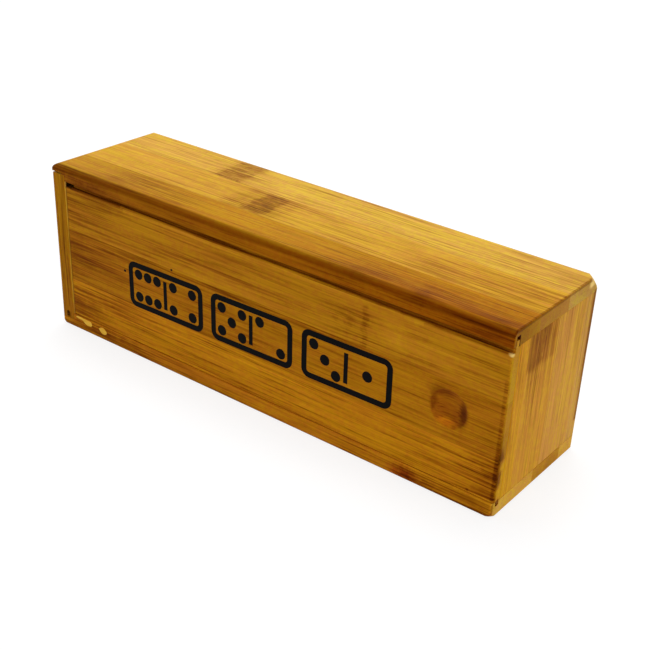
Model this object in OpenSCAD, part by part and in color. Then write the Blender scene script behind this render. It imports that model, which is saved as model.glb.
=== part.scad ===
// Storage box for one set of domino tiles, in laminated bamboo.
//
// The box stands on a long wall. Its lid is the front face: it slides in two grooves
// and leaves by the right end. Every board is glued up from bamboo strips, and each
// strip is a piece of its own.
//
// Lengths are in millimetres. +X runs towards the end that the lid leaves by, -Y is
// the lid's face and +Z is up. The origin is the middle of the footprint. The boards
// are drawn from the lower front left corner of the box, and in_frame() moves them.

/* [Box] */
// Outside length
box_length = 190; // [150:1:260]
// Outside depth, from the lid's face to the back
box_depth = 51.5; // [49:0.5:70]
// Outside height
box_height = 63.4; // [56:0.2:80]
// Thickness of the top and bottom walls
wall_t = 5.4; // [5:0.1:6]
// Thickness of the two end boards
end_t = 6; // [5:0.1:6.5]
// Thickness of the back panel
back_t = 5.2; // [3:0.1:7]
// How far the left end board and the bottom wall stand in from the top wall's left end
left_setback = 0.3; // [0.2:0.1:1.5]

/* [Bamboo strips] */
// Width of a strip in the walls, the end boards and the back panel
strip_w = 17.5; // [14:0.5:18.5]
// Width of the top wall's front strip
top_first_strip = 14.5; // [10:0.5:18]
// Width of the bottom wall's front strip
bottom_first_strip = 6.5; // [5.5:0.5:12]
// Distance from the lid's face to the right end board's first seam
right_first_seam = 9.75; // [8:0.25:12]
// Width of a strip in the lid
lid_strip_w = 20; // [16:0.5:20]
// Height of the lid's lower seam
lid_first_seam = 20.2; // [14:0.2:22]

/* [Corner joints] */
// Thickness left at the top wall's left end, over the end board
top_rabbet_rest = 3; // [2.2:0.1:3.4]
// Thickness left at the bottom wall's left end, under the end board
bottom_rabbet_rest = 3; // [2:0.1:3.4]
// Height of the open glue gap over the left end board
glue_gap = 0.5; // [0.2:0.1:0.8]
// Length of the open glue gap, from the top wall's left end
glue_gap_length = 4.75; // [2:0.25:5]

/* [Lid and grooves] */
// Thickness of the lid
lid_t = 3.5; // [3.3:0.1:4.2]
// How far the lid's face lies behind the fronts of the lips
lid_setback = 0.3; // [0.1:0.1:0.4]
// Thickness of the lid's tongues
tongue_t = 1.4; // [1.2:0.1:1.5]
// How far the tongues lie in front of the lid's back face
tongue_setback = 0.9; // [0.7:0.1:1]
// How far a tongue reaches into its groove
tongue_reach = 0.9; // [0.7:0.1:1.1]
// Extra height of the upper tongue, which has to span the gap over the lid
upper_tongue_extra = 1.2; // [0.8:0.1:1.4]
// Thickness of the lips in front of the grooves
lip_t = 1.2; // [1:0.05:1.25]
// Depth of the groove in the top wall
upper_groove_depth = 3.4; // [2.6:0.1:3.6]
// Depth of the groove in the bottom wall
lower_groove_depth = 1.4; // [1.3:0.1:2.4]
// How far the upper lip is cut back from the wall's inner face
upper_lip_relief = 0.2; // [0.1:0.1:0.8]
// Gap between the lid's raised field and the upper lip
lid_gap_top = 1.7; // [0.8:0.1:2]
// Gap between the lid's raised field and the lower lip
lid_gap_bottom = 0.2; // [0.2:0.05:0.5]
// Gap between the lid and the left end board
lid_gap_end = 0.2; // [0.2:0.05:0.6]
// Length of the clipped upper left corner of the lid
corner_clip_length = 3; // [1:0.1:4]
// How far the clipped corner goes down into the raised field
corner_clip_drop = 0.4; // [0.1:0.1:1]

/* [Finger dish] */
// Diameter of the dish at the lid's face
dish_d = 13.4; // [10:0.2:16]
// Depth of the dish
dish_depth = 1.8; // [0.8:0.1:2.2]
// Distance from the lid's right end to the dish's centre
dish_from_end = 18.75; // [12:0.25:30]
// Height of the dish's centre
dish_height = 31; // [24:0.5:36]

/* [Rounded edges] */
// Radius of the top wall's front edge
top_front_r = 2.5; // [1:0.1:2.8]
// Radius of the top wall's back edge
top_back_r = 3.1; // [1:0.1:4]
// Radius of the top wall's left edge
top_left_r = 2; // [0.5:0.1:2.1]
// Length over which the top wall's back right corner is worn round
worn_top_corner = 8.5; // [4:0.25:10]
// Length over which the bottom wall's front right corner is worn round
worn_bottom_corner = 3.75; // [1:0.25:5]
// Radius of the bottom wall's left edge
bottom_left_r = 2.3; // [0.5:0.1:2.6]
// Radius of the bottom wall's right edge
bottom_right_r = 0.8; // [0.4:0.1:2.4]
// Radius, seen from above, of the bottom wall's front right corner
bottom_corner_r = 1.5; // [0.4:0.1:3]
// Radius, seen from above, of the box's back right corner
back_corner_r = 1.2; // [0.5:0.1:3]
// Radius of the lid's front edge at its right end
lid_end_r = 0.8; // [0.3:0.1:1]
// Radius of a sanded edge
arris_r = 0.4; // [0.2:0.1:0.8]
// Radius of an edge beside a glued seam
seam_r = 0.2; // [0.1:0.05:0.3]

/* [Hidden] */
$fn = 96;

// Room by which a cut runs past the wood
over = 1;

// Colours of the bamboo
honey = "#d8971f";
golden = "#e2a52c";
amber = "#bf7d16";
toasted = "#a5661a";

// Ends of the inside, from the left end, the lid's face and the bottom
inside_x0 = left_setback + end_t;
inside_x1 = box_length - end_t;
inside_y1 = box_depth - back_t;
inside_z0 = wall_t;
inside_z1 = box_height - wall_t;

// Both ends of the left end board, in its rabbets
left_end_z0 = bottom_rabbet_rest;
left_end_z1 = box_height - top_rabbet_rest;

// The lid: its back face, its tongues, the back of the grooves and the front of the
// right end board
lid_y1 = lid_setback + lid_t;
tongue_y1 = lid_y1 - tongue_setback;
tongue_y0 = tongue_y1 - tongue_t;
groove_y1 = tongue_y1 + 0.25;
right_end_y0 = lid_y1 + 0.3;
lid_x0 = inside_x0 + lid_gap_end;
upper_lip_z = inside_z1 + upper_lip_relief;
field_z0 = inside_z0 + lid_gap_bottom;
field_z1 = upper_lip_z - lid_gap_top;
shoulder_z0 = inside_z0 + 0.25;
shoulder_z1 = inside_z1 - 0.25;
tongue_z0 = inside_z0 - tongue_reach;
tongue_z1 = inside_z1 + tongue_reach + upper_tongue_extra;

// Seams between strips, as distances from the lid's face or heights
top_seams = [top_first_strip, top_first_strip + strip_w];
bottom_seams = [for (i = [0:2]) bottom_first_strip + i * strip_w];
left_seams = top_seams;
right_seams = [for (i = [0:2]) right_first_seam + i * strip_w];
back_seams = [for (i = [1:2]) inside_z0 + i * (inside_z1 - inside_z0) / 3];
lid_seams = [lid_first_seam, lid_first_seam + lid_strip_w];

// The open void at the foot of the left end board's front edge
void_x = 3.1;
void_w = 2;
void_h = 2.8;
void_depth = 4;

// ---- drawing aids ----

// Moves a board from the box's lower front left corner to the part's own frame
module in_frame() {
    translate([-box_length / 2, -box_depth / 2, 0]) children();
}

// What a rounded corner of a flat shape loses, for a corner at the origin
module corner_waste(r) {
    difference() {
        translate([-over, -over]) square(r + over);
        translate([r, r]) circle(r);
    }
}

// A rectangle from the origin with its corners rounded by radii, which run
// anticlockwise from the corner at the origin. 0 keeps a corner sharp.
module rounded_rectangle(size, radii) {
    corners = [[0, 0], [size[0], 0], size, [0, size[1]]];
    difference() {
        square(size);
        for (i = [0:3])
            if (radii[i] > 0)
                translate(corners[i]) rotate(90 * i) corner_waste(radii[i]);
    }
}

// A board from the origin whose edges are rounded in each of three views:
// section looks along X, elevation along Y and plan along Z
module board(size, section, elevation, plan) {
    intersection() {
        rotate([90, 0, 90]) linear_extrude(size[0])
            rounded_rectangle([size[1], size[2]], section);
        translate([0, size[1], 0]) rotate([90, 0, 0]) linear_extrude(size[1])
            rounded_rectangle([size[0], size[2]], elevation);
        linear_extrude(size[2])
            rounded_rectangle([size[0], size[1]], plan);
    }
}

// A block from one corner to the opposite one
module block(low, high) {
    translate(low) cube(high - low);
}

// The part of a board between two distances from the lid's face
module depth_strip(y0, y1) {
    intersection() {
        children();
        block([-over, y0, -over], [box_length + over, y1, box_height + over]);
    }
}

// The part of a board between two heights
module height_strip(z0, z1) {
    intersection() {
        children();
        block([-over, -over, z0], [box_length + over, box_depth + over, z1]);
    }
}

// What a worn corner loses: the corner outside a ball that touches its three edges,
// which run inwards from it
module worn_corner_waste(corner, inwards, size) {
    centre = corner + size * inwards;
    beyond = corner - over * inwards;
    difference() {
        block([for (i = [0:2]) min(centre[i], beyond[i])],
              [for (i = [0:2]) max(centre[i], beyond[i])]);
        translate(centre) sphere(size * sqrt(2));
    }
}

// ---- boards ----

module top_wall() {
    difference() {
        translate([0, 0, inside_z1])
            board([box_length, box_depth, wall_t],
                  section = [0, 0, top_back_r, top_front_r],
                  elevation = [0, 0, arris_r, top_left_r],
                  plan = [arris_r, arris_r, back_corner_r, top_back_r]);
        // rabbet for the left end board, and the open glue gap over it
        block([-over, -over, inside_z1 - over], [inside_x0, box_depth + over, left_end_z1]);
        block([-over, -over, inside_z1 - over],
              [glue_gap_length, box_depth + over, left_end_z1 + glue_gap]);
        // groove for the lid's upper tongue, and the lip's cut back edge
        block([inside_x0, lip_t, inside_z1 - over],
              [box_length + over, groove_y1, inside_z1 + upper_groove_depth]);
        block([inside_x0, -over, inside_z1 - over],
              [box_length + over, lip_t + over / 2, upper_lip_z]);
        worn_corner_waste([box_length, box_depth, box_height], [-1, -1, -1], worn_top_corner);
    }
}

module bottom_wall() {
    difference() {
        translate([left_setback, 0, 0])
            board([box_length - left_setback, box_depth, wall_t],
                  section = [arris_r, arris_r, 0, seam_r],
                  elevation = [bottom_left_r, bottom_right_r, 0, 0],
                  plan = [arris_r, bottom_corner_r, back_corner_r, arris_r]);
        // rabbet for the left end board
        block([-over, -over, left_end_z0],
              [inside_x0, box_depth + over, inside_z0 + over]);
        // groove for the lid's lower tongue
        block([inside_x0, lip_t, inside_z0 - lower_groove_depth],
              [box_length + over, groove_y1, inside_z0 + over]);
        worn_corner_waste([box_length, 0, 0], [-1, 1, 1], worn_bottom_corner);
    }
}

module left_end() {
    difference() {
        translate([left_setback, 0, left_end_z0])
            board([end_t, box_depth, left_end_z1 - left_end_z0],
                  section = [0, 0, 0, 0],
                  elevation = [0, 0, 0, arris_r],
                  plan = [arris_r, arris_r, 0, arris_r]);
        // void in the front edge, with a round top
        block([void_x - void_w / 2, -over, left_end_z0 - over],
              [void_x + void_w / 2, void_depth, left_end_z0 + void_h - void_w / 2]);
        translate([void_x, void_depth, left_end_z0 + void_h - void_w / 2])
            rotate([90, 0, 0]) cylinder(h = void_depth + over, d = void_w);
    }
}

module right_end() {
    translate([inside_x1, right_end_y0, inside_z0])
        board([end_t, box_depth - right_end_y0, inside_z1 - inside_z0],
              section = [0, 0, 0, 0],
              elevation = [0, seam_r, seam_r, 0],
              plan = [seam_r, arris_r, back_corner_r, 0]);
}

module back_panel() {
    translate([inside_x0, inside_y1, inside_z0])
        board([inside_x1 - inside_x0, back_t, inside_z1 - inside_z0],
              section = [0, seam_r, seam_r, 0],
              elevation = [0, 0, 0, 0],
              plan = [0, 0, seam_r, seam_r]);
}

// The raised field with a tongue along each long edge, and the board behind them,
// which stops short of both walls
module lid_blank() {
    translate([lid_x0, lid_setback, field_z0])
        board([box_length - lid_x0, lid_t, field_z1 - field_z0],
              section = [seam_r, 0, 0, arris_r],
              elevation = [0, 0, 0, 0],
              plan = [arris_r, lid_end_r, 0, 0]);
    block([lid_x0, tongue_y0, tongue_z0], [box_length, tongue_y1, tongue_z1]);
    block([lid_x0, tongue_y0, shoulder_z0], [box_length, lid_y1, shoulder_z1]);
}

module lid() {
    dish_r = (pow(dish_d / 2, 2) + pow(dish_depth, 2)) / (2 * dish_depth);
    difference() {
        lid_blank();
        // finger dish
        translate([box_length - dish_from_end, lid_setback + dish_depth - dish_r, dish_height])
            sphere(dish_r);
        // clipped upper left corner
        block([lid_x0 - over, -over, field_z1 - corner_clip_drop],
              [lid_x0 + corner_clip_length, lid_y1 + over, tongue_z1 + over]);
    }
}

// ---- top wall ----

module top_wall_front_strip() {
    color(amber) in_frame() depth_strip(-over, top_seams[0]) top_wall();
}

module top_wall_middle_strip() {
    color(honey) in_frame() depth_strip(top_seams[0], top_seams[1]) top_wall();
}

module top_wall_back_strip() {
    color(golden) in_frame() depth_strip(top_seams[1], box_depth + over) top_wall();
}

// ---- bottom wall ----

module bottom_wall_front_strip() {
    color(amber) in_frame() depth_strip(-over, bottom_seams[0]) bottom_wall();
}

module bottom_wall_second_strip() {
    color(golden) in_frame() depth_strip(bottom_seams[0], bottom_seams[1]) bottom_wall();
}

module bottom_wall_third_strip() {
    color(toasted) in_frame() depth_strip(bottom_seams[1], bottom_seams[2]) bottom_wall();
}

module bottom_wall_back_strip() {
    color(honey) in_frame() depth_strip(bottom_seams[2], box_depth + over) bottom_wall();
}

// ---- left end board ----

module left_end_front_strip() {
    color(honey) in_frame() depth_strip(-over, left_seams[0]) left_end();
}

module left_end_middle_strip() {
    color(golden) in_frame() depth_strip(left_seams[0], left_seams[1]) left_end();
}

module left_end_back_strip() {
    color(amber) in_frame() depth_strip(left_seams[1], box_depth + over) left_end();
}

// ---- right end board ----

module right_end_front_strip() {
    color(golden) in_frame() depth_strip(-over, right_seams[0]) right_end();
}

module right_end_second_strip() {
    color(amber) in_frame() depth_strip(right_seams[0], right_seams[1]) right_end();
}

module right_end_third_strip() {
    color(golden) in_frame() depth_strip(right_seams[1], right_seams[2]) right_end();
}

module right_end_back_strip() {
    color(honey) in_frame() depth_strip(right_seams[2], box_depth + over) right_end();
}

// ---- back panel ----

module back_panel_lower_strip() {
    color(honey) in_frame() height_strip(-over, back_seams[0]) back_panel();
}

module back_panel_middle_strip() {
    color(golden) in_frame() height_strip(back_seams[0], back_seams[1]) back_panel();
}

module back_panel_upper_strip() {
    color(amber) in_frame() height_strip(back_seams[1], box_height + over) back_panel();
}

// ---- sliding lid ----

module lid_lower_strip() {
    color(honey) in_frame() height_strip(-over, lid_seams[0]) lid();
}

module lid_middle_strip() {
    color(amber) in_frame() height_strip(lid_seams[0], lid_seams[1]) lid();
}

module lid_upper_strip() {
    color(golden) in_frame() height_strip(lid_seams[1], box_height + over) lid();
}

top_wall_front_strip();
top_wall_middle_strip();
top_wall_back_strip();
bottom_wall_front_strip();
bottom_wall_second_strip();
bottom_wall_third_strip();
bottom_wall_back_strip();
left_end_front_strip();
left_end_middle_strip();
left_end_back_strip();
right_end_front_strip();
right_end_second_strip();
right_end_third_strip();
right_end_back_strip();
back_panel_lower_strip();
back_panel_middle_strip();
back_panel_upper_strip();
lid_lower_strip();
lid_middle_strip();
lid_upper_strip();
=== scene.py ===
"""Domino storage box: bamboo finishes, the lid's print and its small blemishes.

Places on the box are millimetres from its lower front left corner, as in the part's
source: x along the box, y back from the lid's face and z up.
"""
import bpy
import bmesh
import math
import random
from mathutils import Matrix, Vector


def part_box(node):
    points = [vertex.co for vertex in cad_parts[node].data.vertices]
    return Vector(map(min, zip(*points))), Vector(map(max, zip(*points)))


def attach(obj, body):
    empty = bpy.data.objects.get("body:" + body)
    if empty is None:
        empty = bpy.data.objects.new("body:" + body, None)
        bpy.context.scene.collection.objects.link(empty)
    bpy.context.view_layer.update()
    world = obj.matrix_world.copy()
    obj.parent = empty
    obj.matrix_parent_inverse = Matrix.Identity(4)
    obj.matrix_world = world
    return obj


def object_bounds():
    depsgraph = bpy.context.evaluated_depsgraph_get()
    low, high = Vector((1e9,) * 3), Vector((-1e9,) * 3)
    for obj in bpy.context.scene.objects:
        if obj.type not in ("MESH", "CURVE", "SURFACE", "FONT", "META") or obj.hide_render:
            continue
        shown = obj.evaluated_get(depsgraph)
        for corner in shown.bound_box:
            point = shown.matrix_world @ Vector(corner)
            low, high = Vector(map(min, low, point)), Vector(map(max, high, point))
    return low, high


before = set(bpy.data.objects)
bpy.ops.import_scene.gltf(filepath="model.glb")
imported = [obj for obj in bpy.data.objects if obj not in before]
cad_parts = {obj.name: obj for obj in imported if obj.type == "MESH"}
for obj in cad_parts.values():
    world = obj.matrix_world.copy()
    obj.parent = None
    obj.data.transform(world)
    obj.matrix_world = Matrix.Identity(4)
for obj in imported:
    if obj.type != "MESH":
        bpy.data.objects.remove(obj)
cad_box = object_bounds()

MM = 0.001
CORNER = Vector(cad_box[0])
SIZE_MM = (Vector(cad_box[1]) - CORNER) / MM

scene = bpy.context.scene
scene.view_settings.view_transform = "Standard"


def place(x, y, z):
    """A point on the box, in millimetres from its corner, as a place in the frame."""
    return CORNER + Vector((x, y, z)) * MM


def box_mm(node):
    """A node's lowest and highest corners, in millimetres from the box's corner."""
    low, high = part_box(node)
    return (Vector(low) - CORNER) / MM, (Vector(high) - CORNER) / MM


# ---- camera ----

PHOTO_PX = 650
CAMERA_AZIMUTH = 35.61
CAMERA_ELEVATION = 29.20
CAMERA_ROLL = 3.11
CAMERA_DISTANCE_MM = 399.8
# The box's centre, right of and above the view axis
BOX_RIGHT_MM = -15.68
BOX_UP_MM = 19.20
FOCAL_PX = 1165.6
# The view axis in the photograph
AXIS_PX = (347.6, 356.0)
SENSOR_MM = 36.0


def make_camera():
    azimuth, elevation, roll = (
        math.radians(a) for a in (CAMERA_AZIMUTH, CAMERA_ELEVATION, CAMERA_ROLL))
    back = Vector((math.sin(azimuth) * math.cos(elevation),
                   -math.cos(azimuth) * math.cos(elevation),
                   math.sin(elevation)))
    level = Vector((math.cos(azimuth), math.sin(azimuth), 0))
    upright = back.cross(level)
    right = level * math.cos(roll) + upright * math.sin(roll)
    up = upright * math.cos(roll) - level * math.sin(roll)
    centre = place(*(SIZE_MM / 2))
    position = centre + (back * CAMERA_DISTANCE_MM - right * BOX_RIGHT_MM - up * BOX_UP_MM) * MM

    data = bpy.data.cameras.new("camera")
    data.sensor_fit = "HORIZONTAL"
    data.sensor_width = SENSOR_MM
    data.lens = FOCAL_PX / PHOTO_PX * SENSOR_MM
    data.shift_x = 0.5 - AXIS_PX[0] / PHOTO_PX
    data.shift_y = AXIS_PX[1] / PHOTO_PX - 0.5
    data.clip_start = 0.01
    camera = bpy.data.objects.new("camera", data)
    matrix = Matrix((right, up, back)).transposed().to_4x4()
    matrix.translation = position
    camera.matrix_world = matrix
    scene.collection.objects.link(camera)
    scene.camera = camera


# ---- shader graphs ----

class Graph:
    """Short calls that add nodes to one node tree and return their output sockets."""

    def __init__(self, tree):
        self.tree = tree
        tree.nodes.clear()

    def node(self, kind, inputs=(), output=0, **settings):
        made = self.tree.nodes.new(kind)
        for key, value in settings.items():
            setattr(made, key, value)
        for key, value in dict(inputs).items():
            if isinstance(value, bpy.types.NodeSocket):
                self.tree.links.new(value, made.inputs[key])
            else:
                made.inputs[key].default_value = value
        return made.outputs[output] if made.outputs else made

    def math(self, operation, a, b=0.0, clamp=False):
        return self.node("ShaderNodeMath", {0: a, 1: b}, operation=operation, use_clamp=clamp)

    def vector(self, operation, a, b=(0, 0, 0), output=0):
        return self.node("ShaderNodeVectorMath", {0: a, 1: b}, output, operation=operation)

    def noise(self, vector, detail=2.0, roughness=0.5, output=0):
        return self.node("ShaderNodeTexNoise",
                         {"Vector": vector, "Scale": 1.0, "Detail": detail, "Roughness": roughness},
                         output)

    def smooth(self, value, low, high, to_low=0.0, to_high=1.0):
        return self.node("ShaderNodeMapRange",
                         {0: value, 1: low, 2: high, 3: to_low, 4: to_high},
                         interpolation_type="SMOOTHSTEP")

    def mix(self, factor, a, b, blend="MIX"):
        return self.node("ShaderNodeMix", {0: factor, 6: a, 7: b}, 2,
                         data_type="RGBA", blend_type=blend)

    def ramp(self, value, stops):
        made = self.tree.nodes.new("ShaderNodeValToRGB")
        self.tree.links.new(value, made.inputs[0])
        elements = made.color_ramp.elements
        while len(elements) < len(stops):
            elements.new(0.5)
        for element, (position, colour) in zip(elements, stops):
            element.position = position
            element.color = (*colour, 1)
        return made.outputs[0]


def new_material(name):
    material = bpy.data.materials.new(name)
    material.use_nodes = True
    return material, Graph(material.node_tree)


# ---- bamboo ----

# What a strip's own colour is multiplied by, from its darkest fibres to its palest
TONES = [
    (0.00, (0.16, 0.08, 0.04)),
    (0.25, (0.52, 0.39, 0.22)),
    (0.50, (1.00, 1.00, 1.00)),
    (0.75, (1.20, 1.30, 1.45)),
    (1.00, (1.38, 1.62, 2.10)),
]
# How often, along and across the grain, each layer of the figure repeats per millimetre
BANDS = (0.006, 0.13)
STREAKS = (0.012, 0.42)
FIBRES = (0.024, 0.95)
HAIRS = (0.050, 1.9)
LINES = (0.006, 0.40)
FADES = (0.025, 0.25)
DASHES = (0.11, 2.0)
MOTTLE = (0.06, 0.07)
HUES = (0.020, 0.30)
SPECKLE = (0.55, 0.80)
PATCHES = (0.30, 0.9)
PORES = (0.05, 2.6)
# How much each layer of the figure lightens the wood, or darkens it where it is negative
BAND_AMOUNT = 0.24
MOTTLE_AMOUNT = 0.22
STREAK_AMOUNT = 0.18
FIBRE_AMOUNT = 0.44
HAIR_AMOUNT = 0.84
DASH_AMOUNT = -0.09
LINE_AMOUNT = -0.08
PORE_AMOUNT = -0.09
# How far a stretched noise may be from its middle inside a long dark line
LINE_REACH = 0.030
# How far apart in the noise one seed lies from the next, in millimetres
SEED_STEP = (61.7, 37.3, 23.9)
# What a strip's colour is multiplied by where it is yellower, and where it is redder
YELLOWER = (1.03, 1.13, 0.70)
REDDER = (0.99, 0.92, 1.00)
# Wood laid bare at worn corners, painted pale as a highlight
BARE_HIGHLIGHT = (0.98, 0.70, 0.22, 1.0)
# The satin finish: its sheen's strength and colour, and the relief of the fibres in metres
SHEEN = 0.02
GLOSS_TINT = (1.0, 0.72, 0.30, 1.0)
ROUGHNESS = 0.42
STREAK_ROUGHNESS = 0.16
RELIEF = 0.00006


class Bamboo:
    """One strip's material. Tone 0.5 is the strip's own colour, less is darker."""

    def __init__(self, name, colour, grain, seed, figure=1.0):
        self.material, self.g = new_material(name)
        g = self.g
        self.grain = "xyz".index(grain)
        self.seed = seed
        self.figure = figure
        self.colour = colour
        metres = g.node("ShaderNodeTexCoord", output="Object")
        self.at = g.vector("MULTIPLY", g.vector("SUBTRACT", metres, CORNER), (1000, 1000, 1000))
        self.normal = g.node("ShaderNodeTexCoord", output="Normal")
        self.tone = self.grain_tone()
        self.stains = []
        # Worn places, each painted with a highlight
        self.worn = []

    def layer(self, repeats, detail=2.0, roughness=0.5, shift=0.0):
        """A noise stretched along the grain, which differs from strip to strip."""
        along, across = repeats
        scale = [across] * 3
        scale[self.grain] = along
        x, y, z = (self.seed * step for step in SEED_STEP)
        shifted = self.g.vector("ADD", self.at, (x + shift, y + shift, z - shift))
        return self.g.noise(self.g.vector("MULTIPLY", shifted, scale), detail, roughness)

    def grain_tone(self):
        """The tone of the plain wood, with nothing marked on it."""
        g = self.g
        self.streak = self.layer(STREAKS, 2.0, 0.6)
        self.fibre = self.layer(FIBRES, 1.0, 0.5)
        self.hair = self.layer(HAIRS, 1.0, 0.5, 3.0)
        self.dash = g.smooth(self.layer(DASHES, 1.0, 0.5, 9.0), 0.60, 0.74)
        # Long dark lines lie where a stretched noise crosses its middle, and come and go
        off_line = g.math("ABSOLUTE", g.math("SUBTRACT", self.layer(LINES, 1.0, 0.5, 17.0), 0.5))
        strength = g.smooth(self.layer(FADES, 1.0, 0.5, 21.0), 0.40, 0.62)
        self.line = g.math("MULTIPLY", g.smooth(off_line, 0.0, LINE_REACH, 1.0, 0.0), strength)
        broad = self.sum([(self.layer(BANDS), 0.5, BAND_AMOUNT),
                          (self.layer(MOTTLE, 3.0, 0.55, 5.0), 0.5, MOTTLE_AMOUNT)])
        fine = self.sum([(self.streak, 0.5, STREAK_AMOUNT), (self.fibre, 0.5, FIBRE_AMOUNT),
                         (self.hair, 0.5, HAIR_AMOUNT), (self.dash, 0.0, DASH_AMOUNT),
                         (self.line, 0.0, LINE_AMOUNT)])
        # Cut ends show pores instead of fibres
        pore = g.smooth(self.layer(PORES, 1.0, 0.5, 41.0), 0.50, 0.75, 0.0, PORE_AMOUNT)
        cut_end = g.math("MAXIMUM", self.facing("+" + "xyz"[self.grain], 0.5, 0.8),
                         self.facing("-" + "xyz"[self.grain], 0.5, 0.8))
        surface = g.math("ADD", fine, g.math("MULTIPLY", cut_end, g.math("SUBTRACT", pore, fine)))
        return g.math("ADD", g.math("ADD", broad, surface), 0.5)

    def sum(self, parts):
        """Adds up layers, each less its middle and times an amount."""
        g = self.g
        total = 0.0
        for value, middle, amount in parts:
            centred = g.math("SUBTRACT", value, middle)
            total = g.math("ADD", g.math("MULTIPLY", centred, amount * self.figure), total)
        return total

    def warped(self, reach, repeats):
        """Places on the box, pushed about by up to reach so that marks get ragged edges."""
        g = self.g
        pushed = g.noise(g.vector("MULTIPLY", self.at, (repeats, repeats, repeats)), 3.0, 0.6, "Color")
        centred = g.vector("SUBTRACT", pushed, (0.5, 0.5, 0.5))
        return g.vector("ADD", self.at, g.vector("MULTIPLY", centred, (2 * reach,) * 3))

    def ellipsoid(self, centre, radii, ragged, repeats, hard):
        """1 inside an ellipsoid round a place on the box, fading out at its surface."""
        g = self.g
        at = self.warped(ragged, repeats) if ragged else self.at
        away = g.vector("DIVIDE", g.vector("SUBTRACT", at, centre), radii)
        distance = g.vector("LENGTH", away, output="Value")
        return g.smooth(distance, hard, 1.0, 1.0, 0.0)

    def block(self, low, high, soft, ragged=0.0, repeats=0.35):
        """1 inside a box between two corners, fading out over soft beyond it."""
        g = self.g
        at = self.warped(ragged, repeats) if ragged else self.at
        middle = [(a + b) / 2 for a, b in zip(low, high)]
        half = [(b - a) / 2 for a, b in zip(low, high)]
        away = g.vector("ABSOLUTE", g.vector("SUBTRACT", at, middle))
        beyond = g.vector("MAXIMUM", g.vector("SUBTRACT", away, half), (0, 0, 0))
        distance = g.vector("LENGTH", beyond, output="Value")
        return g.smooth(distance, 0.0, soft, 1.0, 0.0)

    def add(self, mask, amount):
        """Darkens or lightens the tone inside a mask."""
        self.tone = self.g.math("ADD", self.tone, self.g.math("MULTIPLY", mask, amount))

    def broken(self, mask, patchy):
        """Thins a mask out between patches."""
        if not patchy:
            return mask
        g = self.g
        patches = g.smooth(self.layer(PATCHES, 3.0, 0.6, 13.0), 0.36, 0.62, 1 - patchy, 1.0)
        return g.math("MULTIPLY", mask, patches)

    def mark(self, centre, radii, amount, ragged=0.0, repeats=0.35, hard=0.0, patchy=0.0):
        """Darkens or lightens an ellipsoid."""
        inside = self.ellipsoid(centre, radii, ragged, repeats, hard)
        self.add(self.broken(inside, patchy), amount)

    def shade(self, low, high, amount, soft=0.3, ragged=0.0, repeats=0.35, patchy=0.0):
        """Darkens or lightens a box."""
        inside = self.block(low, high, soft, ragged, repeats)
        self.add(self.broken(inside, patchy), amount)

    def stain(self, mask, factor):
        """Multiplies the colour inside a mask."""
        self.stains.append((mask, factor))

    def stroke(self, start, end, radius, amount):
        """Darkens or lightens a straight line."""
        g = self.g
        start, end = Vector(start), Vector(end)
        along = end - start
        from_start = g.vector("SUBTRACT", self.at, start)
        reached = g.vector("DOT_PRODUCT", from_start, along / along.length_squared,
                           output="Value")
        nearest = g.node("ShaderNodeVectorMath",
                         {0: along, "Scale": g.math("ADD", reached, 0.0, True)}, operation="SCALE")
        distance = g.vector("LENGTH", g.vector("SUBTRACT", from_start, nearest), output="Value")
        self.add(g.smooth(distance, 0.0, radius, 1.0, 0.0), amount)

    def bare(self, centre, radii, amount, ragged=0.5, repeats=0.8, hard=0.2):
        """Wears the finish away from an ellipsoid, and paints a highlight there."""
        self.worn.append((self.ellipsoid(centre, radii, ragged, repeats, hard), amount))

    def towards(self, direction, low, high):
        """1 on surfaces that face along a direction."""
        g = self.g
        direction = Vector(direction).normalized()
        cosine = g.vector("DOT_PRODUCT", self.normal, direction, output="Value")
        return g.smooth(cosine, low, high)

    def facing(self, axis, low=0.35, high=0.85):
        """1 on surfaces that face along axis, such as "-y" or "+x"."""
        direction = [0.0, 0.0, 0.0]
        direction["xyz".index(axis[1])] = -1.0 if axis[0] == "-" else 1.0
        return self.towards(direction, low, high)

    def tint(self, axis, factor):
        """Multiplies the colour of surfaces that face along axis."""
        self.stain(self.facing(axis), factor)

    def finish(self):
        """Makes the shader, once every mark is on."""
        g = self.g
        speckle = g.math("SUBTRACT", self.layer(SPECKLE, 2.0, 0.6, 33.0), 0.5)
        hue = g.smooth(g.math("ADD", self.layer(HUES, 3.0, 0.6, 29.0), speckle), 0.34, 0.66)
        colour = g.mix(1.0, (*self.colour, 1), g.ramp(self.tone, TONES), "MULTIPLY")
        colour = g.mix(1.0, colour, g.mix(hue, (*REDDER, 1), (*YELLOWER, 1)), "MULTIPLY")
        for mask, factor in self.stains:
            colour = g.mix(mask, colour, g.mix(1.0, colour, (*factor, 1), "MULTIPLY"))
        for mask, amount in self.worn:
            colour = g.mix(g.math("MULTIPLY", mask, amount), colour, BARE_HIGHLIGHT)
        height = g.math("ADD", g.math("MULTIPLY", g.math("ADD", self.fibre, self.hair), 0.5),
                        g.math("MULTIPLY", g.math("MAXIMUM", self.dash, self.line), -0.5))
        bump = g.node("ShaderNodeBump", {"Height": height, "Strength": 0.35, "Distance": RELIEF})
        gloss = g.math("ADD", g.math("MULTIPLY", self.streak, STREAK_ROUGHNESS), ROUGHNESS)
        shader = g.node("ShaderNodeBsdfPrincipled",
                        {"Base Color": colour, "Roughness": gloss, "Normal": bump,
                         "Specular IOR Level": SHEEN, "Specular Tint": GLOSS_TINT})
        g.node("ShaderNodeOutputMaterial", {"Surface": shader})
        return self.material


def dress(node, bamboo):
    material = bamboo.finish()
    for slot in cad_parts[node].material_slots:
        slot.material = material


# ---- the strips ----

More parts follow.
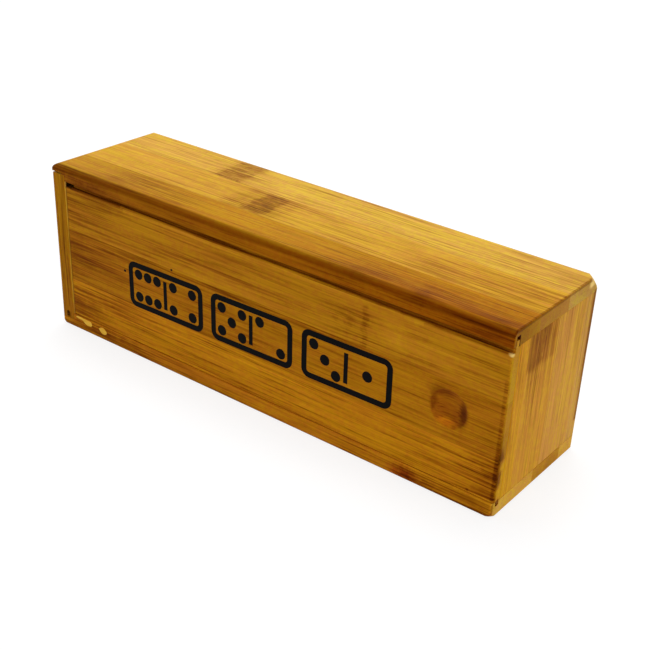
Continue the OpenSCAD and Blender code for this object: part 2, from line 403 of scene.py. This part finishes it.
# Own colours, as the wood looks under plain light
PALE_TOP = (0.638, 0.356, 0.052)
MID_TOP = (0.58, 0.297, 0.031)
BROWN_TOP = (0.442, 0.19, 0.0065)
END_AMBER = (0.618, 0.276, 0.0145)
END_KNOTTED = (0.6, 0.272, 0.026)
END_PALE = (0.635, 0.307, 0.048)
WALL_PLAIN = (0.6, 0.305, 0.063)
WALL_PALE = (0.71, 0.378, 0.054)
TOASTED = (0.525, 0.232, 0.015)
LID_COLOUR = (0.512, 0.197, 0.0085)
LID_MIDDLE = (0.476, 0.171, 0.0058)
LID_BRIGHT = (0.604, 0.228, 0.0073)
LIP_COLOUR = (0.6, 0.215, 0.009)

LENGTH, DEPTH, HEIGHT = SIZE_MM
LIP_FRONT = box_mm("bottom_wall_front_strip")[0].y
LID_FACE = box_mm("lid_middle_strip")[0].y
# A radius that takes a mark right through a wall
THROUGH = 30

# The faces of the two walls towards the inside
INSIDE_FOOT = box_mm("right_end_front_strip")[0].z
INSIDE_TOP = box_mm("right_end_front_strip")[1].z
# The left end board's top, with the open joint over it
LEFT_END_TOP = box_mm("left_end_front_strip")[1].z
# The upper lip's thickness and lower edge, and the groove behind it, as in the part's source
LIP_T = 1.2
LIP_EDGE = INSIDE_TOP + 0.2
GROOVE_BACK = 3.15
GROOVE_TOP = INSIDE_TOP + 3.4
# The top of the lid's raised field, below the lip
FIELD_TOP = LIP_EDGE - 1.7

# Painted shade: how much colour is left deep in a groove or an open joint, and at the groove's open
# end
DEEP_SHADE = (0.07, 0.05, 0.05)
GROOVE_END_SHADE = (0.30, 0.17, 0.12)


def dark_right_edge(strip):
    """The dark line along the top's right edge."""
    strip.shade((LENGTH - 0.5, -1, HEIGHT - 0.7), (LENGTH + 1, DEPTH + 1, HEIGHT + 1), -0.16)


def dress_top_back():
    strip = Bamboo("bamboo_top_back", PALE_TOP, "x", 1, 0.7)
    # The node, and the darker wood round it
    strip.shade((50, 30, 50), (58.5, 52, 70), -0.17, 3.0, 2.5, 0.30, 0.5)
    strip.shade((49, 30, 50), (60, 52, 70), -0.06, 6, 3, 0.2)
    # Paler to the left, where a sheen is painted, and darker to the right
    strip.mark((6, 42, HEIGHT), (40, 22, THROUGH), 0.03, 5, 0.2)
    strip.mark((186, 42, HEIGHT), (34, 22, THROUGH), -0.05, 5, 0.2)
    # Painted shade along the rounded back edge of the right end
    strip.shade((LENGTH - 1, DEPTH - 2.2, 50), (LENGTH + 1, DEPTH + 1, 58.5), -0.2, 0.6)
    # The worn back corner, with a painted highlight
    strip.bare((LENGTH, DEPTH - 5.0, HEIGHT - 1.8), (2.4, 2.6, 1.9), 0.75)
    strip.bare((LENGTH - 1.5, DEPTH - 2, HEIGHT - 1.5), (3.2, 3.6, 2.6), 0.35)
    strip.tint("+x", (0.90, 0.95, 1.3))
    dark_right_edge(strip)
    dress("top_wall_back_strip", strip)


def dress_top_middle():
    strip = Bamboo("bamboo_top_middle", MID_TOP, "x", 2, 0.7)
    # The node, the darker wood round it and its tail towards the left
    strip.shade((77, 17, 50), (83.5, 30, 70), -0.22, 3.0, 2.5, 0.30, 0.45)
    strip.shade((70, 10, 50), (88, 40, 70), -0.09, 5, 3, 0.2)
    strip.mark((70, 19, HEIGHT), (9, 4, THROUGH), -0.14, 3, 0.20, patchy=0.4)
    # Paler to the left, where a sheen is painted, darker and redder to the right
    strip.mark((6, 25, HEIGHT), (75, 20, THROUGH), 0.09, 5, 0.2)
    strip.mark((190, 25, HEIGHT), (80, 20, THROUGH), -0.05, 5, 0.1)
    strip.mark((190, 14, HEIGHT), (60, 12, THROUGH), -0.08, 3, 0.1)
    redder = strip.ellipsoid((190, 20, HEIGHT), (80, 24, THROUGH), 5, 0.35, 0.2)
    strip.stain(redder, (1.02, 0.95, 0.8))
    strip.mark((156, 15.5, HEIGHT), (4, 2.5, THROUGH), -0.03, 2, 0.3, patchy=0.5)
    strip.tint("+x", (0.79, 0.78, 1.1))
    dark_right_edge(strip)
    dress("top_wall_middle_strip", strip)


def dress_top_front():
    strip = Bamboo("bamboo_top_front", BROWN_TOP, "x", 3, 0.8)
    # The small node near the front edge, then the paler and darker lengths of the strip
    strip.mark((158, 3, HEIGHT), (4.5, 7, 7), -0.12, 3, 0.35, patchy=0.4)
    strip.mark((4, 9, HEIGHT), (24, 12, THROUGH), 0.14, 5, 0.2)
    strip.mark((38, 9, HEIGHT), (32, 10, THROUGH), -0.10, 5, 0.2)
    strip.mark((82, 8, HEIGHT), (30, 12, THROUGH), 0.10, 5, 0.2)
    strip.mark((185, 5, HEIGHT), (90, 14, THROUGH), -0.13, 5, 0.1)
    strip.mark((135, 8, HEIGHT), (24, 12, THROUGH), -0.08, 5, 0.1)
    strip.mark((36, 3, HEIGHT), (30, 4, THROUGH), -0.09, 3, 0.1)
    strip.mark((100, 2.6, HEIGHT), (120, 2.2, THROUGH), -0.10, 1.5, 0.2)
    # Redder to the right, and greyer to the left, where a sheen is painted
    redder = strip.ellipsoid((190, 4, HEIGHT), (100, 24, THROUGH), 5, 0.35, 0.2)
    strip.stain(redder, (1.0, 0.88, 0.45))
    painted_sheen = strip.ellipsoid((0, 8, HEIGHT), (70, 24, THROUGH), 5, 0.35, 0.2)
    strip.stain(painted_sheen, (1.0, 1.06, 2.2))
    # The red-brown line round the front edge, faintest in the middle
    strip.stain(strip.towards((0, -0.72, 0.70), 0.77, 0.95), (0.53, 0.45, 0.36))
    strip.mark((86, 1, HEIGHT - 1), (60, 4, 3), 0.08, 2, 0.2)
    strip.mark((2, 1, HEIGHT - 1), (50, 4, 3), -0.12, 2, 0.2)
    strip.mark((2, 0, HEIGHT - 4), (50, 1.2, 5), -0.14, 3, 0.2)
    strip.mark((145, 0, HEIGHT - 4), (60, 1.2, 4), 0.08, 3, 0.2)
    # Painted shade inside the groove and at its open end
    strip.shade((6, LIP_T, INSIDE_TOP - 1),
                (LENGTH - 5, GROOVE_BACK + 0.15, GROOVE_TOP + 0.2), -0.25, 0.12)
    open_end = strip.block((LENGTH - 4, LIP_T, INSIDE_TOP),
                           (LENGTH + 1, GROOVE_BACK + 0.15, GROOVE_TOP + 0.2), 0.12)
    strip.stain(open_end, GROOVE_END_SHADE)
    # Painted shade at the groove's left end, past the lid's clipped corner, and in the open joint
    strip.stain(strip.block((5, 0.5, LIP_EDGE - 1.2), (9.6, 5, LIP_EDGE + 0.4), 0.3), DEEP_SHADE)
    open_joint = strip.block((0.5, 0.7, LEFT_END_TOP - 0.3), (5, 8, LEFT_END_TOP + 0.55), 0.2)
    strip.stain(open_joint, DEEP_SHADE)
    # The front face darker and redder: painted shade
    strip.tint("-y", (0.81, 0.57, 0.34))
    strip.tint("+x", (0.93, 1.11, 2.1))
    dark_right_edge(strip)
    dress("top_wall_front_strip", strip)


def dress_bottom_wall():
    front = Bamboo("bamboo_bottom_front", LIP_COLOUR, "x", 4, 0.9)
    # The dark red knot on the lip, and the darker wood to its right
    front.mark((158, 0, 1.6), (7, 3, 4), -0.28, 3, 0.4, patchy=0.3)
    front.stain(front.ellipsoid((158, 0, 1.6), (8, 3, 5), 3, 0.4, 0.1), (0.84, 0.49, 1.05))
    front.mark((166, 0, 1.2), (11, 3, 3.6), -0.17, 3, 0.3)
    # The lip's darker and paler lengths, and darker along its lower edge
    front.mark((182, 0, 0.6), (16, 3, 2.2), -0.14, 2, 0.3)
    front.mark((76, 0, 0.6), (30, 3, 2.0), -0.12, 2, 0.3)
    front.mark((24, 0, 2), (36, 4, 5), -0.22, 4, 0.2)
    front.mark((108, 0, 3), (50, 4, 5), 0.04, 4, 0.2)
    front.mark((184, 0, 3), (14, 4, 5), -0.08, 4, 0.2)
    front.shade((-1, -1, -1), (LENGTH + 1, 0.5, 0.3), -0.14, 0.6)
    # Its upper edge, paler at the right with painted light that fills in the gap's shade, its darker
    # right arris, and painted shade of a small hole at the groove's open end
    front.shade((176, -1, INSIDE_FOOT - 0.5), (LENGTH - 0.6, 2, INSIDE_FOOT + 0.6), 0.18, 0.3)
    front.shade((LENGTH - 0.4, -1, 0), (LENGTH + 1, 0.3, 6), -0.22, 0.6)
    front.mark((LENGTH, 2.2, 4.7), (2, 1.3, 1.3), -0.35, 0.4, 0.6, 0.4)
    front.tint("+x", (1.2, 1.87, 7.9))
    dress("bottom_wall_front_strip", front)

    tones = {"second": (WALL_PALE, 5), "third": (TOASTED, 6), "back": (WALL_PALE, 7)}
    for name, (colour, seed) in tones.items():
        strip = Bamboo("bamboo_bottom_" + name, colour, "x", seed, 0.8)
        dress("bottom_wall_%s_strip" % name, strip)


def dress_left_end():
    colours = {"front": WALL_PALE, "middle": WALL_PLAIN, "back": WALL_PLAIN}
    for seed, (name, colour) in enumerate(colours.items(), 11):
        strip = Bamboo("bamboo_left_end_" + name, colour, "z", seed, 0.9)
        # Painted shade in the open joint over the board's top
        open_joint = strip.block((-1, 0.8, LEFT_END_TOP - 0.1), (5, DEPTH + 1, 61), 0.2)
        strip.stain(open_joint, DEEP_SHADE)
        if name == "front":
            mark_left_edge(strip)
        # The front faces darker and redder: painted shade
        strip.tint("-y", (0.60, 0.43, 0.08))
        dress("left_end_%s_strip" % name, strip)


def mark_left_edge(strip):
    """Painted shade at the groove's left end and in and round the pocket at the foot of the edge, and
    a faint line above it.
    """
    strip.stain(strip.block((6.1, 0.9, FIELD_TOP - 0.9), (7, 5, 62), 0.3), DEEP_SHADE)
    strip.shade((1.7, 0.5, 2.5), (4.6, 6, 6.2), -0.24, 0.6)
    strip.mark((3.1, 0, 4.2), (1.7, 1.5, 2.0), -0.28, 0.3, 0.8, 0.3)
    strip.shade((3.9, -1, 8), (4.2, 1, 58), -0.10, 0.5)


def right_end_light(strip):
    """Painted light: right end strips are paler at the foot, where the floor throws light up, and
    darker at the head.
    """
    strip.mark((LENGTH, 25, 0), (20, 60, 46), 0.06)
    strip.mark((LENGTH, 25, 62), (20, 60, 30), -0.07)


def dress_right_end():
    front = Bamboo("bamboo_right_end_front", END_AMBER, "z", 21, 0.7)
    right_end_light(front)
    dress("right_end_front_strip", front)

    # The second strip has the node, a brown shadow under it and a paler foot, painted light like the
    # rest of the end
    second = Bamboo("bamboo_right_end_second", END_KNOTTED, "z", 22, 0.7)
    right_end_light(second)
    second.shade((LENGTH - 2, 5, 47.5), (LENGTH + 1, 30, 58), -0.14, 3.5, 1.5, 0.4, 0.2)
    second.shade((LENGTH - 2, 11, 48), (LENGTH + 1, 17, 56), -0.09, 4.0, 2.5, 0.3, 0.3)
    second.mark((LENGTH, 16, 42), (6, 8, 12), -0.10, 4, 0.3, patchy=0.4)
    second.mark((LENGTH, 19, 2), (6, 14, 24), 0.08, 4, 0.1)
    dress("right_end_second_strip", second)

    third = Bamboo("bamboo_right_end_third", END_PALE, "z", 23, 0.55)
    right_end_light(third)
    dress("right_end_third_strip", third)

    back = Bamboo("bamboo_right_end_back", WALL_PLAIN, "z", 24, 0.7)
    right_end_light(back)
    # Painted shade along the rounded back edge
    back.shade((LENGTH - 1, DEPTH - 2.2, 12), (LENGTH + 1, DEPTH + 1, 61), -0.28, 0.7)
    dress("right_end_back_strip", back)


def dress_back_panel():
    colours = {"lower": WALL_PLAIN, "middle": END_PALE, "upper": WALL_PLAIN}
    for seed, (name, colour) in enumerate(colours.items(), 31):
        strip = Bamboo("bamboo_back_" + name, colour, "x", seed, 0.8)
        dress("back_panel_%s_strip" % name, strip)


DISH_X = LENGTH - 18.75
DISH_Z = 31.0
DISH_R = 6.7


def dish_shading(strip):
    """Painted shade in the finger dish, darkest at its right and upper left, a painted highlight on
    its lower left side, and darker lines above and below it.
    """
    def spot(x, z, radii, ragged):
        centre = (DISH_X + x, 1, DISH_Z + z)
        return strip.ellipsoid(centre, (radii[0], 4, radii[1]), ragged, 0.7, 0.2)

    bowl = strip.ellipsoid((DISH_X, LID_FACE, DISH_Z), (DISH_R + 0.2, 4, DISH_R + 0.2),
                           0.2, 0.9, 0.88)
    strip.stain(bowl, (0.78, 0.62, 0.80))
    strip.stain(spot(5.0, -0.4, (2.7, 6.4), 0.5), (0.40, 0.30, 0.4))
    strip.stain(spot(0.3, 0.5, (3.4, 3.4), 0.8), (1.09, 1.18, 1.0))
    strip.stain(spot(-3.2, 5.0, (6.4, 3.0), 0.8), (0.58, 0.48, 0.5))
    strip.stain(spot(-5.6, 1.0, (1.8, 5.0), 0.6), (0.62, 0.52, 0.5))
    strip.stain(spot(-0.9, -5.0, (4.6, 2.1), 0.6), (1.65, 1.70, 1.4))
    strip.mark((DISH_X - 2, LID_FACE, DISH_Z + 8.2), (8, 3, 1.6), -0.10, 1.0, 0.3)
    strip.mark((DISH_X + 2, LID_FACE, DISH_Z - 8.4), (7, 3, 1.6), -0.10, 1.0, 0.3)


def lid_end_stains_and_shade(strip):
    """Two stains on the lid's right end, and painted shade along its rounded front corner."""
    strip.mark((LENGTH, 1.5, 21.5), (3, 2.2, 4.5), -0.30, 0.8, 0.4, patchy=0.2)
    strip.mark((LENGTH, 1.8, 14.5), (3, 1.3, 3.4), -0.28, 0.8, 0.5, patchy=0.2)
    strip.mark((LENGTH - 0.3, 0.6, 18), (2.4, 1.6, 17), -0.10, 0.3, 0.4)
    strip.shade((LENGTH - 1.2, -1, 5), (LENGTH - 0.4, 0.8, 47), -0.13, 0.6)
    strip.tint("+x", (0.96, 1.21, 1.4))


def dress_lid_upper():
    strip = Bamboo("bamboo_lid_upper", LID_COLOUR, "x", 44, 0.9)
    # The node's thin line and the shadow before it
    strip.shade((139.1, -1, 40), (139.9, 2, 54), -0.15, 1.3, 1.4, 0.35, 0.4)
    strip.mark((132, LID_FACE, 47), (10, 6, 7.5), -0.16, 3, 0.3, patchy=0.9)
    # Paler to the right, darker at the left end: painted light, the lid's face lit brightest right of
    # its middle
    strip.mark((149, LID_FACE, 48), (10, 6, 9), 0.25, 3, 0.25)
    strip.mark((166, LID_FACE, 50), (26, 6, 12), 0.17, 4, 0.2)
    strip.mark((9, LID_FACE, 50), (50, 6, 14), -0.16, 4, 0.1)
    # The field's upper edge: a painted highlight line with a line of painted shade over it, under the
    # lip, widest at both ends
    strip.shade((36, -1, FIELD_TOP - 1.6), (LENGTH - 30, 0.9, FIELD_TOP - 0.9), 0.17, 0.5)
    strip.shade((9, -1, FIELD_TOP - 0.4), (LENGTH, 0.9, FIELD_TOP + 0.2), -0.16, 0.3)
    strip.shade((9, -1, FIELD_TOP - 0.8), (34, 0.9, FIELD_TOP + 0.2), -0.13, 0.4)
    strip.shade((LENGTH - 38, -1, FIELD_TOP - 0.7), (LENGTH - 2, 0.9, FIELD_TOP + 0.2), -0.10, 0.4)
    # The worn top right corner of the field, with a painted highlight
    strip.bare((LENGTH - 0.4, 0.4, FIELD_TOP - 0.5), (1.5, 1.0, 0.9), 0.8)
    # Painted shade on the ledge and tongue under the lip, and in the clipped corner
    strip.shade((9, 0.9, FIELD_TOP - 0.2), (LENGTH - 1, 5, 61), -0.2, 0.3)
    strip.stain(strip.block((4, 0.8, FIELD_TOP - 0.3), (9.5, 5, 61), 0.25), DEEP_SHADE)
    lid_end_stains_and_shade(strip)
    dress("lid_upper_strip", strip)


def dress_lid_middle():
    strip = Bamboo("bamboo_lid_middle", LID_MIDDLE, "x", 42, 0.85)
    # The dark line along the upper seam, and painted shade at both ends, the lid's face being lit
    # brightest in its middle
    strip.mark((60, LID_FACE, 39.8), (150, 3, 2.2), -0.14, 0.5, 0.2)
    strip.mark((15, LID_FACE, 29.8), (26, 3, 2), -0.14, 1.0, 0.2)
    strip.mark((8, LID_FACE, 30), (36, 3, 14), -0.16, 3, 0.1)
    strip.mark((158, LID_FACE, 30), (26, 3, 14), 0.08, 3, 0.1)
    strip.mark((188, LID_FACE, 24), (9, 3, 14), -0.10, 3, 0.2)
    dish_shading(strip)
    lid_end_stains_and_shade(strip)
    dress("lid_middle_strip", strip)


def dress_lid_lower():
    strip = Bamboo("bamboo_lid_lower", LID_BRIGHT, "x", 43, 0.95)
    # Two dark fibres at the left, and painted shade at both ends, the lid's face being lit brightest
    # in its middle
    strip.mark((13, LID_FACE, 16.6), (24, 3, 1.2), -0.14, 0.8, 0.2)
    strip.mark((13, LID_FACE, 11.6), (24, 3, 1.2), -0.14, 0.8, 0.2)
    strip.mark((6, LID_FACE, 12), (44, 3, 14), -0.195, 4, 0.1)
    strip.mark((118, LID_FACE, 12), (66, 3, 12), 0.05, 4, 0.1)
    strip.mark((189, LID_FACE, 14), (20, 3, 12), -0.28, 3, 0.2)
    # The dark line that climbs away from the lower edge, and painted light on the edge under it, which
    # fills in the gap's shade
    strip.stroke((165, LID_FACE, 5.1), (180.5, LID_FACE, 6.35), 0.9, -0.26)
    strip.stroke((180.5, LID_FACE, 6.35), (190.5, LID_FACE, 7.0), 0.9, -0.26)
    strip.shade((175, -1, INSIDE_FOOT - 0.5), (LENGTH - 1, 5, INSIDE_FOOT + 0.4), 0.18, 0.3)
    # Painted shade of a small hole at the foot of the lid's right end
    strip.mark((LENGTH, 2.2, 5.2), (2, 1.2, 1.5), -0.35, 0.4, 0.6, 0.4)
    lid_end_stains_and_shade(strip)
    dress("lid_lower_strip", strip)


# ---- mesh pieces ----

def mesh_piece(name, bm, material, body):
    """Turns a bmesh into a piece that rides on a body."""
    mesh = bpy.data.meshes.new(name)
    bmesh.ops.recalc_face_normals(bm, faces=bm.faces)
    bm.to_mesh(mesh)
    bm.free()
    mesh.materials.append(material)
    piece = bpy.data.objects.new(name, mesh)
    scene.collection.objects.link(piece)
    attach(piece, body)
    return piece


# The print: a row of three domino tiles, level with its own line, which climbs a little
PRINT_CENTRE = (94.1, 29.6)
PRINT_TILT = math.radians(0.92)
TILE_LENGTH = 35.4
TILE_HEIGHT = 17.4
TILE_PITCH = 39.2
TILE_CORNER_R = 3.2
LINE_W = 2.1
BAR_W = LINE_W / 1.3
BAR_GAP = 1.2
PIP_R = 1.9
PIP_COLUMN_STEP = 4.5
PIP_ROW_STEP = 4.275
# From a tile's middle to the middle of each half's pips
PIPS_FROM_MIDDLE = 0.235 * TILE_LENGTH
INK_PROUD = 0.03
INK_SUNK = 0.02
PIP_PATTERNS = {
    1: [(0, 0)],
    2: [(-1, 1), (1, -1)],
    3: [(-1, 1), (0, 0), (1, -1)],
    4: [(-1, -1), (-1, 1), (1, -1), (1, 1)],
    5: [(-1, -1), (-1, 1), (0, 0), (1, -1), (1, 1)],
    6: [(-1, -1), (0, -1), (1, -1), (-1, 1), (0, 1), (1, 1)],
}
TILES = [(6, 4), (5, 2), (3, 1)]
# Stray specks of ink near the print's left end: places on the lid, and radii
SPECKS = [(35.3, 33.4, 0.55), (58.4, 40.6, 0.45)]


def on_lid(u, v, proud):
    """A point of the print, from its centre, as a place just in front of the lid's face."""
    x = PRINT_CENTRE[0] + u * math.cos(PRINT_TILT) - v * math.sin(PRINT_TILT)
    z = PRINT_CENTRE[1] + u * math.sin(PRINT_TILT) + v * math.cos(PRINT_TILT)
    return place(x, LID_FACE - proud, z)


def rounded_outline(length, height, radius, steps=10):
    """A rectangle with round corners, anticlockwise from its right."""
    points = []
    for quarter in range(4):
        sx = 1 if quarter in (0, 3) else -1
        sz = 1 if quarter in (0, 1) else -1
        for i in range(steps + 1):
            angle = math.radians(90 * quarter + 90 * i / steps)
            points.append((sx * (length / 2 - radius) + radius * math.cos(angle),
                           sz * (height / 2 - radius) + radius * math.sin(angle)))
    return points


def add_film(bm, loops, centre):
    """A thin film of ink inside one outline, or between an outer and an inner one."""
    rings = []
    for proud in (INK_PROUD, -INK_SUNK):
        for loop in loops:
            rings.append([bm.verts.new(on_lid(centre[0] + u, centre[1] + v, proud))
                          for u, v in loop])
    count = len(loops)
    for layer in (0, count):
        if count == 1:
            bm.faces.new(rings[layer])
        else:
            join_rings(bm, rings[layer], rings[layer + 1])
    for i in range(count):
        join_rings(bm, rings[i], rings[i + count])


def join_rings(bm, a, b):
    """Faces between two closed loops of as many points."""
    for i in range(len(a)):
        j = (i + 1) % len(a)
        bm.faces.new((a[i], a[j], b[j], b[i]))


def circle(radius, rng, steps=28, ragged=0.05):
    """A slightly uneven circle, as ink spreads."""
    points = []
    for i in range(steps):
        angle = 2 * math.pi * i / steps
        r = radius + rng.uniform(-ragged, ragged)
        points.append((r * math.cos(angle), r * math.sin(angle)))
    return points


def make_print():
    ink = ink_material()
    rng = random.Random(5)
    for number, (left, right) in enumerate(TILES, 1):
        bm = bmesh.new()
        middle = ((number - 2) * TILE_PITCH, 0.0)
        add_film(bm, [rounded_outline(TILE_LENGTH, TILE_HEIGHT, TILE_CORNER_R),
                      rounded_outline(TILE_LENGTH - 2 * LINE_W, TILE_HEIGHT - 2 * LINE_W,
                                      TILE_CORNER_R - LINE_W)], middle)
        bar = (TILE_HEIGHT - 2 * LINE_W) / 2 - BAR_GAP
        add_film(bm, [[(-BAR_W / 2, -bar), (BAR_W / 2, -bar),
                       (BAR_W / 2, bar), (-BAR_W / 2, bar)]], middle)
        for side, pips in ((-1, left), (1, right)):
            for column, row in PIP_PATTERNS[pips]:
                spot = (middle[0] + side * PIPS_FROM_MIDDLE + column * PIP_COLUMN_STEP,
                        row * PIP_ROW_STEP)
                add_film(bm, [circle(PIP_R, rng)], spot)
        mesh_piece("print_tile_%d" % number, bm, ink, "lid")
    bm = bmesh.new()
    for x, z, radius in SPECKS:
        u, v = x - PRINT_CENTRE[0], z - PRINT_CENTRE[1]
        add_film(bm, [circle(radius, rng, 14, 0.12)], (u, v))
    mesh_piece("ink_specks", bm, ink, "lid")


def ink_material():
    material, g = new_material("printing_ink")
    metres = g.node("ShaderNodeTexCoord", output="Object")
    at = g.vector("MULTIPLY", metres, (1000, 1000, 1000))
    worn = g.smooth(g.noise(g.vector("MULTIPLY", at, (0.25, 1.6, 1.6)), 3.0, 0.6), 0.55, 0.75)
    colour = g.mix(worn, (0.0015, 0.0015, 0.0015, 1), (0.006, 0.004, 0.002, 1))
    bump = g.node("ShaderNodeBump", {"Height": worn, "Strength": 0.2, "Distance": 0.00005})
    shader = g.node("ShaderNodeBsdfPrincipled",
                    {"Base Color": colour, "Roughness": 0.6, "Normal": bump,
                     "Specular IOR Level": 0.04})
    g.node("ShaderNodeOutputMaterial", {"Surface": shader})
    return material


# Chips where the lacquer has come off the bottom wall's lip and left pale bamboo bare
CHIPS = [
    ("chip_long", [(7.5, 4.7), (8.5, 5.2), (11.8, 5.1), (15.2, 5.0), (16.0, 4.0), (15.5, 3.1),
                   (13.4, 2.9), (12.1, 3.4), (11.0, 4.2), (8.8, 4.3)]),
    ("chip_short", [(19.9, 3.7), (20.5, 4.5), (22.1, 4.8), (23.5, 4.1), (23.9, 3.1), (22.9, 2.3),
                    (21.3, 2.4)]),
]
CHIP_PROUD = 0.05
CHIP_SUNK = 0.02


def bare_material():
    material, g = new_material("bare_bamboo")
    metres = g.node("ShaderNodeTexCoord", output="Object")
    at = g.vector("MULTIPLY", metres, (120, 2200, 2200))
    fibre = g.noise(at, 3.0, 0.6)
    colour = g.ramp(fibre, [(0.25, (0.95, 0.43, 0.012)), (0.5, (1.0, 0.575, 0.035)),
                            (0.8, (1.0, 0.65, 0.08))])
    bump = g.node("ShaderNodeBump", {"Height": fibre, "Strength": 0.5, "Distance": 0.0001})
    shader = g.node("ShaderNodeBsdfPrincipled",
                    {"Base Color": colour, "Roughness": 0.6, "Normal": bump,
                     "Specular IOR Level": 0.25})
    g.node("ShaderNodeOutputMaterial", {"Surface": shader})
    return material


def make_chips():
    material = bare_material()
    for name, corners in CHIPS:
        outline = smoothed(corners, 5)
        bm = bmesh.new()
        front = [bm.verts.new(place(x, LIP_FRONT - CHIP_PROUD, z)) for x, z in outline]
        back = [bm.verts.new(place(x, LIP_FRONT + CHIP_SUNK, z)) for x, z in outline]
        bm.faces.new(front)
        bm.faces.new(back)
        join_rings(bm, front, back)
        mesh_piece(name, bm, material, "box")


def smoothed(corners, steps):
    """A closed curve through the corners."""
    points = []
    count = len(corners)
    for i in range(count):
        a, b, c, d = (Vector(corners[(i + k - 1) % count]) for k in range(4))
        for step in range(steps):
            t = step / steps
            points.append(0.5 * (2 * b + (c - a) * t + (2 * a - 5 * b + 4 * c - d) * t ** 2
                                 + (3 * b - a - 3 * c + d) * t ** 3))
    return points


# ---- floor, light and world ----

FLOOR_SIZE = 6.0
FLOOR_DROP = 0.0001
# The floor as the camera sees it: a grey that takes the lamps' light, and a glow that
# makes it white, stronger away from the object where the lamps' light falls off
FLOOR_GREY = (0.24, 0.24, 0.24, 1)
GLOW_NEAR = 0.80
GLOW_FAR = 1.0
GLOW_RISES = (0.5, 1.2)
# The floor as the object sees it
FLOOR_BOUNCE = (0.75, 0.75, 0.75, 1)
AMBIENT = 0.32
WHITE = (1.0, 1.0, 1.0, 1.0)


def seen(g):
    """1 for rays that show the background: the camera's, reflected and transmitted ones."""
    camera = g.node("ShaderNodeLightPath", output="Is Camera Ray")
    glossy = g.node("ShaderNodeLightPath", output="Is Glossy Ray")
    through = g.node("ShaderNodeLightPath", output="Is Transmission Ray")
    return g.math("MAXIMUM", g.math("MAXIMUM", camera, glossy), through)


def floor_material():
    material, g = new_material("floor")
    grey = g.node("ShaderNodeBsdfDiffuse", {"Color": FLOOR_GREY})
    away = g.vector("LENGTH", g.node("ShaderNodeTexCoord", output="Object"), output="Value")
    glow = g.node("ShaderNodeEmission",
                  {"Color": WHITE, "Strength": g.smooth(away, *GLOW_RISES, GLOW_NEAR, GLOW_FAR)})
    lit = g.node("ShaderNodeAddShader", {0: grey, 1: glow})
    bounce = g.node("ShaderNodeBsdfDiffuse", {"Color": FLOOR_BOUNCE})
    surface = g.node("ShaderNodeMixShader", {0: seen(g), 1: bounce, 2: lit})
    g.node("ShaderNodeOutputMaterial", {"Surface": surface})
    return material


def make_floor():
    bm = bmesh.new()
    half = FLOOR_SIZE / 2
    bm.faces.new([bm.verts.new((x, y, -FLOOR_DROP))
                  for x, y in ((-half, -half), (half, -half), (half, half), (-half, half))])
    mesh = bpy.data.meshes.new("floor")
    bm.to_mesh(mesh)
    bm.free()
    mesh.materials.append(floor_material())
    floor = bpy.data.objects.new("floor", mesh)
    scene.collection.objects.link(floor)


# Where the lamps point, then each lamp's place, width and power in watts
LAMPS_AIM = Vector((0, 0, 0.03))
LAMPS = {
    "overhead": ((-0.20, 0.20, 1.10), 0.7, 8.2),
    "right": ((1.10, -0.10, 0.60), 0.7, 5.0),
    "front": ((0.10, -1.20, 0.70), 0.8, 1.8),
    "behind": ((-0.60, 1.10, 0.70), 0.8, 2.2),
}


def make_lamps():
    for name, (position, width, power) in LAMPS.items():
        data = bpy.data.lights.new(name, "AREA")
        data.size = width
        data.energy = power
        lamp = bpy.data.objects.new(name, data)
        lamp.location = position
        aim = LAMPS_AIM - lamp.location
        lamp.rotation_euler = aim.to_track_quat("-Z", "Y").to_euler()
        scene.collection.objects.link(lamp)


def make_world():
    world = bpy.data.worlds.new("world")
    scene.world = world
    world.use_nodes = True
    g = Graph(world.node_tree)
    ambient = g.node("ShaderNodeBackground", {"Color": WHITE, "Strength": AMBIENT})
    white = g.node("ShaderNodeBackground", {"Color": WHITE, "Strength": 1.0})
    surface = g.node("ShaderNodeMixShader", {0: seen(g), 1: ambient, 2: white})
    g.node("ShaderNodeOutputWorld", {"Surface": surface})


make_camera()
dress_top_back()
dress_top_middle()
dress_top_front()
dress_bottom_wall()
dress_left_end()
dress_right_end()
dress_back_panel()
dress_lid_upper()
dress_lid_middle()
dress_lid_lower()
make_print()
make_chips()
make_floor()
make_lamps()
make_world()
